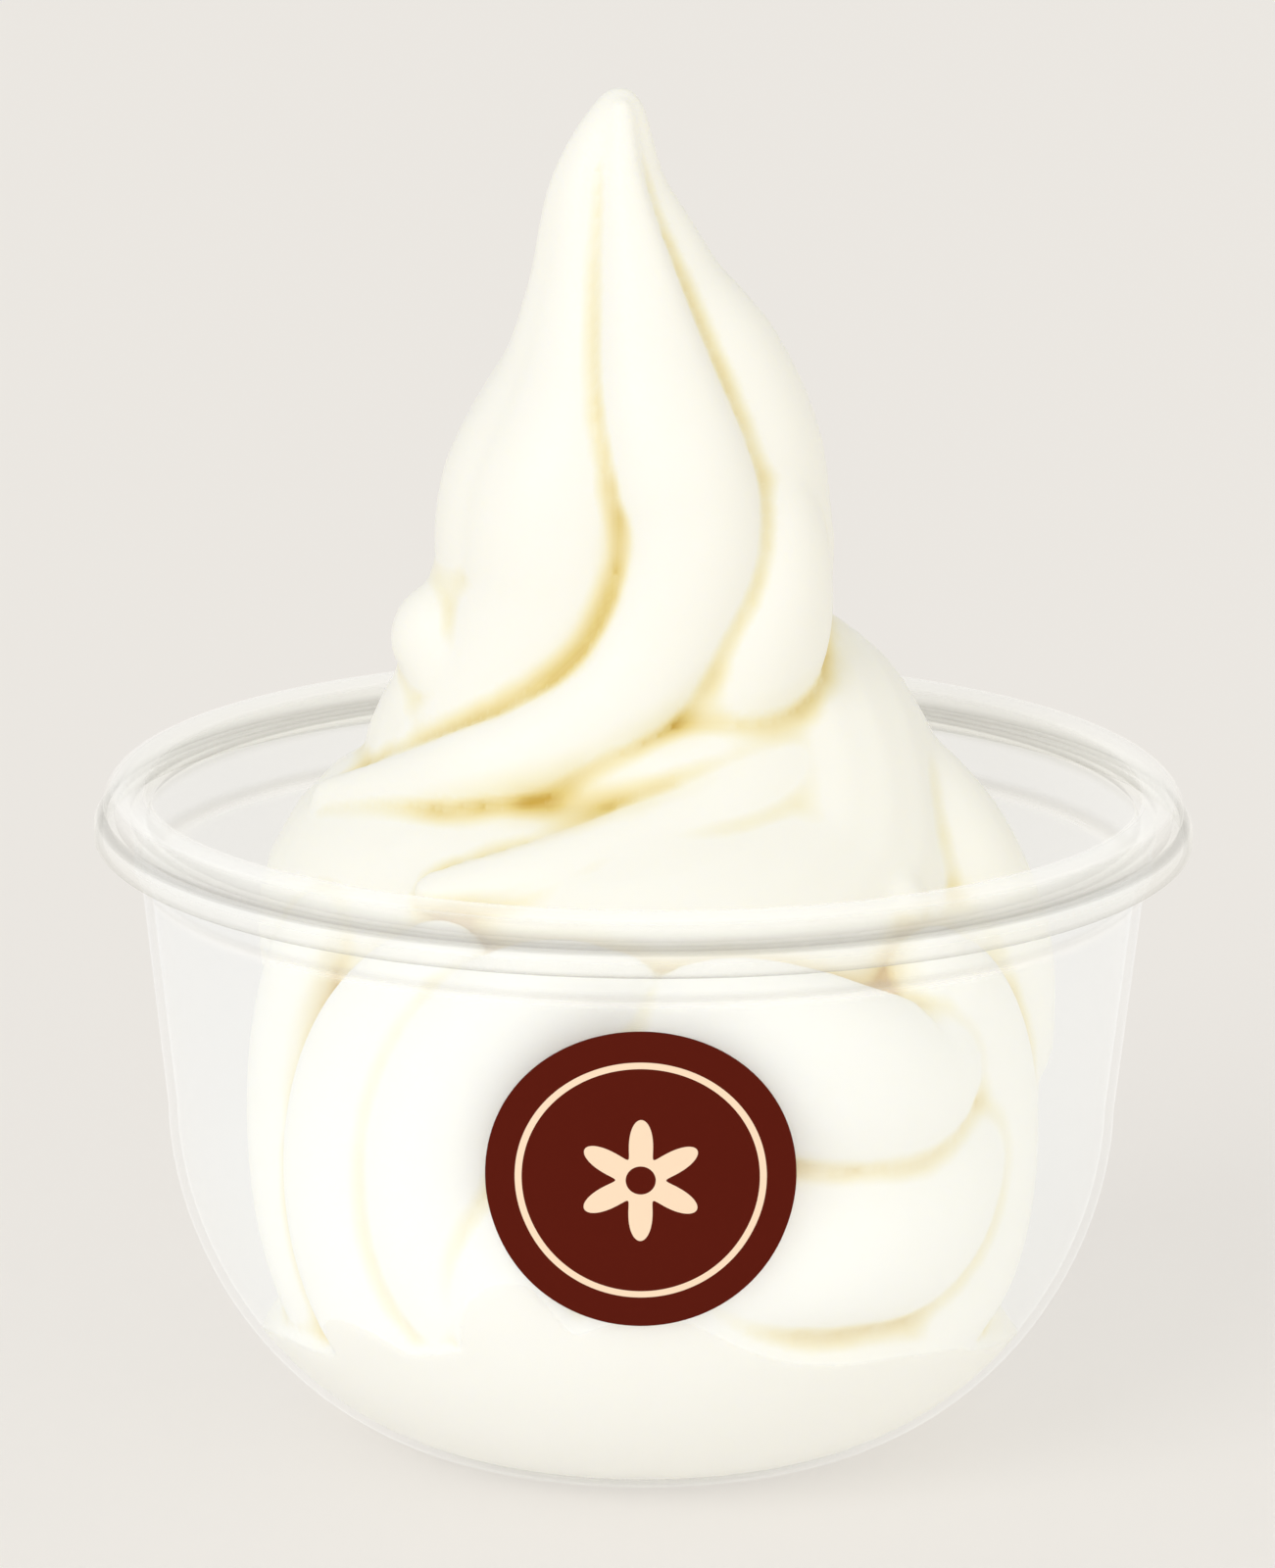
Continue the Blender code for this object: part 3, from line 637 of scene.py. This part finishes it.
label = {
    "radius": 13.7, "height": 35.6, "gap": 0.3, "thickness": 0.25, "steps": 128, "rings": 12,
    "sharp": 40,
    # the rosette: how many petals, their mean reach, how far in and out from that their
    # outline swings, and the bare middle; then the thin ring
    "petals": 6, "petalReach": 3.9, "petalSwing": 1.7, "bareMiddle": 1.3,
    "ringRadius": 10.6, "ringHalfWidth": 0.3,
}


def labelSide(bm, line, gap):
    ring = bmesh.ops.create_circle(bm, cap_ends=False, segments=label["steps"], radius=1.0)["verts"]
    edges = list({edge for vert in ring for edge in vert.link_edges})
    side = list(ring)
    for k in range(label["rings"] - 1, 0, -1):
        grown = bmesh.ops.extrude_edge_only(bm, edges=edges)["geom"]
        ring = [item for item in grown if isinstance(item, bmesh.types.BMVert)]
        edges = [item for item in grown if isinstance(item, bmesh.types.BMEdge) and item.is_boundary]
        for vert in ring:
            vert.co *= k / (k + 1)
        side += ring
    middle = bmesh.ops.edgeloop_fill(bm, edges=edges)["faces"]
    side += bmesh.ops.poke(bm, faces=middle)["verts"]
    for vert in side:
        height = label["height"] + vert.co.y * label["radius"]
        away = radiusAt(line, height) + gap
        turn = vert.co.x * label["radius"] / away
        vert.co = Vector((away * math.sin(turn), -away * math.cos(turn), height)) * mm


def printedPaper():
    # coated paper, offset printed: an even deep brown with a soft sheen, and a cream rosette
    material, shader = newMaterial(
        "coatedPaperPrinted", Roughness=0.6, IOR=1.5, Specular_IOR_Level=0.06)
    place = addNode(material, "TexCoord")
    centred = addNode(material, "Mapping", {"Location": (0, 0, -label["height"] * mm)},
                      {"Vector": place.outputs["Object"]})
    axes = addNode(material, "SeparateXYZ", links={"Vector": centred.outputs["Vector"]})
    across, up = axes.outputs["X"], axes.outputs["Z"]

    def maths(operation, *inputs):
        values = {i: v for i, v in enumerate(inputs) if not hasattr(v, "links")}
        links = {i: v for i, v in enumerate(inputs) if hasattr(v, "links")}
        return addNode(material, "Math", values, links, operation=operation).outputs[0]

    angle = maths("ARCTAN2", across, up)
    squares = [maths("MULTIPLY", value, value) for value in (across, up)]
    distance = maths("SQRT", maths("ADD", *squares))
    # a rosette of petals round a bare middle
    wave = maths("COSINE", maths("MULTIPLY", angle, float(label["petals"])))
    reach = maths("MULTIPLY_ADD", wave, label["petalSwing"] * mm, label["petalReach"] * mm)
    petals = maths("LESS_THAN", distance, reach)
    middle = maths("GREATER_THAN", distance, label["bareMiddle"] * mm)
    # a thin ring near the edge
    ring = maths("COMPARE", distance, label["ringRadius"] * mm, label["ringHalfWidth"] * mm)
    printed = maths("MAXIMUM", maths("MULTIPLY", petals, middle), ring)
    colour = addNode(material, "Mix", {"A": linear("#5a1608"), "B": linear("#fee3c6")},
                     {"Factor": printed}, data_type="RGBA")
    material.node_tree.links.new(colour.outputs["Result"], shader.inputs["Base Color"])
    letLightThrough(material, shader, "#efe8e4")
    return material


def makeLabel():
    line = outerWall(cup["fineSteps"])
    bm = bmesh.new()
    labelSide(bm, line, label["gap"])
    labelSide(bm, line, label["gap"] + label["thickness"])
    bmesh.ops.bridge_loops(bm, edges=[edge for edge in bm.edges if edge.is_boundary])
    piece = finishPiece("roundLabel", bm, printedPaper(), node="label")
    piece.data.set_sharp_from_angle(angle=math.radians(label["sharp"]))
    print("label made")


studio = {
    "floorColour": "#b5b2ae", "floorGlow": "#ece9e6", "floorStrength": 0.5, "floorSize": 12.0,
    "distance": 1.126, "elevation": 14.19, "frameHeight": 139.84, "roll": 0.456,
    "target": (-0.55, 0, 59.9), "sensor": 36,
    "skyColour": "#f4f3ef", "skyStrength": 0.8,
    # suns: strength, where the light comes from, how wide it is in degrees, and its colour
    "suns": {
        "key": (0.76, (-0.65, -0.85, 0.62), 32, (1, 1, 1)),
        "front": (0.4, (0.5, -1.0, 0.1), 50, (1, 1, 1)),
        "right": (0.25, (1.0, -0.25, 0.15), 50, (1.0, 0.87, 0.52)),
    },
}


def makeFloor():
    bm = bmesh.new()
    bmesh.ops.create_grid(bm, x_segments=1, y_segments=1, size=studio["floorSize"] / 2)
    mesh = bpy.data.meshes.new("floor")
    bm.to_mesh(mesh)
    bm.free()
    floor = bpy.data.objects.new("floor", mesh)
    bpy.context.scene.collection.objects.link(floor)
    # opal acrylic light table: half its brightness comes from below, so shadows stay faint
    material, shader = newMaterial(
        "opalAcrylicLit", Base_Color=linear(studio["floorColour"]), Roughness=0.9,
        Specular_IOR_Level=0.1, Emission_Color=linear(studio["floorGlow"]),
        Emission_Strength=studio["floorStrength"],
    )
    mesh.materials.append(material)


def makeCamera():
    lens = bpy.data.cameras.new("camera")
    lens.sensor_width = studio["sensor"]
    lens.lens = studio["sensor"] * studio["distance"] / (studio["frameHeight"] * mm)
    lens.clip_start = 0.05
    camera = bpy.data.objects.new("camera", lens)
    bpy.context.scene.collection.objects.link(camera)
    bpy.context.scene.camera = camera
    tilt = math.radians(studio["elevation"])
    back = Vector((0, -math.cos(tilt), math.sin(tilt)))
    camera.location = Vector(studio["target"]) * mm + back * studio["distance"]
    turn = (-back).to_track_quat("-Z", "Y") @ Quaternion((0, 0, 1), math.radians(studio["roll"]))
    camera.rotation_euler = turn.to_euler()


def addSun(name, strength, comesFrom, wide, colour):
    light = bpy.data.lights.new(name, "SUN")
    light.energy, light.angle, light.color = strength, math.radians(wide), colour
    lamp = bpy.data.objects.new(name, light)
    bpy.context.scene.collection.objects.link(lamp)
    lamp.location = Vector(comesFrom)
    lamp.rotation_euler = Vector(comesFrom).to_track_quat("Z", "Y").to_euler()


def makeLights():
    world = bpy.data.worlds.new("studio")
    bpy.context.scene.world = world
    world.use_nodes = True
    sky = world.node_tree.nodes["Background"]
    sky.inputs["Color"].default_value = linear(studio["skyColour"])
    sky.inputs["Strength"].default_value = studio["skyStrength"]
    for name, sun in studio["suns"].items():
        addSun(name, *sun)


makeCup()
makeSwirl()
makeLabel()
makeFloor()
makeCamera()
makeLights()
bpy.context.scene.view_settings.view_transform = "Standard"
print("studio made")
